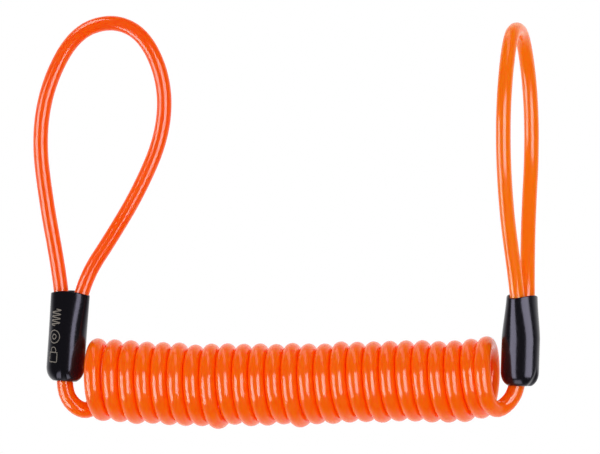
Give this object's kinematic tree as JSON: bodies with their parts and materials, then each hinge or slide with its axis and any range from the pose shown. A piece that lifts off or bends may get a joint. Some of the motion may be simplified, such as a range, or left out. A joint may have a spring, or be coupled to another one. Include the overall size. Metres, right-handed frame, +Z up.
{
  "type": "disc lock reminder cable",
  "caption": "Close-wound orange coil of plastic-coated wire rope with a loop at each end, each loop crimped in a ferrule under a black vinyl sleeve.",
  "frame": {"origin": "the eye of the left loop: the inner side of the loop's top, where a hook or a handlebar carries it", "axes": "+X along the coil from the left end to the right end, +Z up towards the loops' tops, +Y away from the viewer"},
  "size_m": [0.1615, 0.0438, 0.1286],
  "materials": {
    "orange_jacket": "glossy extruded PVC",
    "vinyl_sleeve": "glossy dipped vinyl",
    "wire_rope": "galvanised strands",
    "ferrule": "pressed, satin"
  },
  "bodies": {
    "left_end": {"left_sleeve": "vinyl_sleeve", "left_ferrule": "ferrule", "left_loop_jacket": "orange_jacket", "left_loop_rope": "wire_rope", "left_lead_jacket": "orange_jacket", "left_lead_rope": "wire_rope"},
    "coil_body": {"coil": "orange_jacket"},
    "coil_tail": {"coil_last_turn": "orange_jacket"},
    "right_end": {"right_sleeve": "vinyl_sleeve", "right_ferrule": "ferrule", "right_loop_jacket": "orange_jacket", "right_loop_rope": "wire_rope", "right_lead_jacket": "orange_jacket", "right_lead_rope": "wire_rope"}
  },
  "joints": [
    {"name": "left_end_swing", "type": "hinge", "parent": "left_end", "child": "coil_body", "pos_m": [-0.0135, 0, -0.117], "axis": [0, 1, 0], "range_deg": [0, 90], "stiffness_Nm_per_rad": 0.4, "springref_deg": -14.32, "deforming": ["left_lead_jacket", "left_lead_rope"]},
    {"name": "coil_stretch", "type": "slide", "parent": "coil_body", "child": "coil_tail", "axis": [1, 0, 0], "range_m": [0, 1.2], "stiffness_N_per_m": 9, "springref_m": -0.06, "deforming": ["coil"]},
    {"name": "right_end_swing", "type": "hinge", "parent": "coil_tail", "child": "right_end", "pos_m": [0.1285, 0, -0.117], "axis": [0, 1, 0], "range_deg": [0, 90], "stiffness_Nm_per_rad": 0.4, "springref_deg": -5.73, "deforming": ["right_lead_jacket", "right_lead_rope"]}
  ]
}
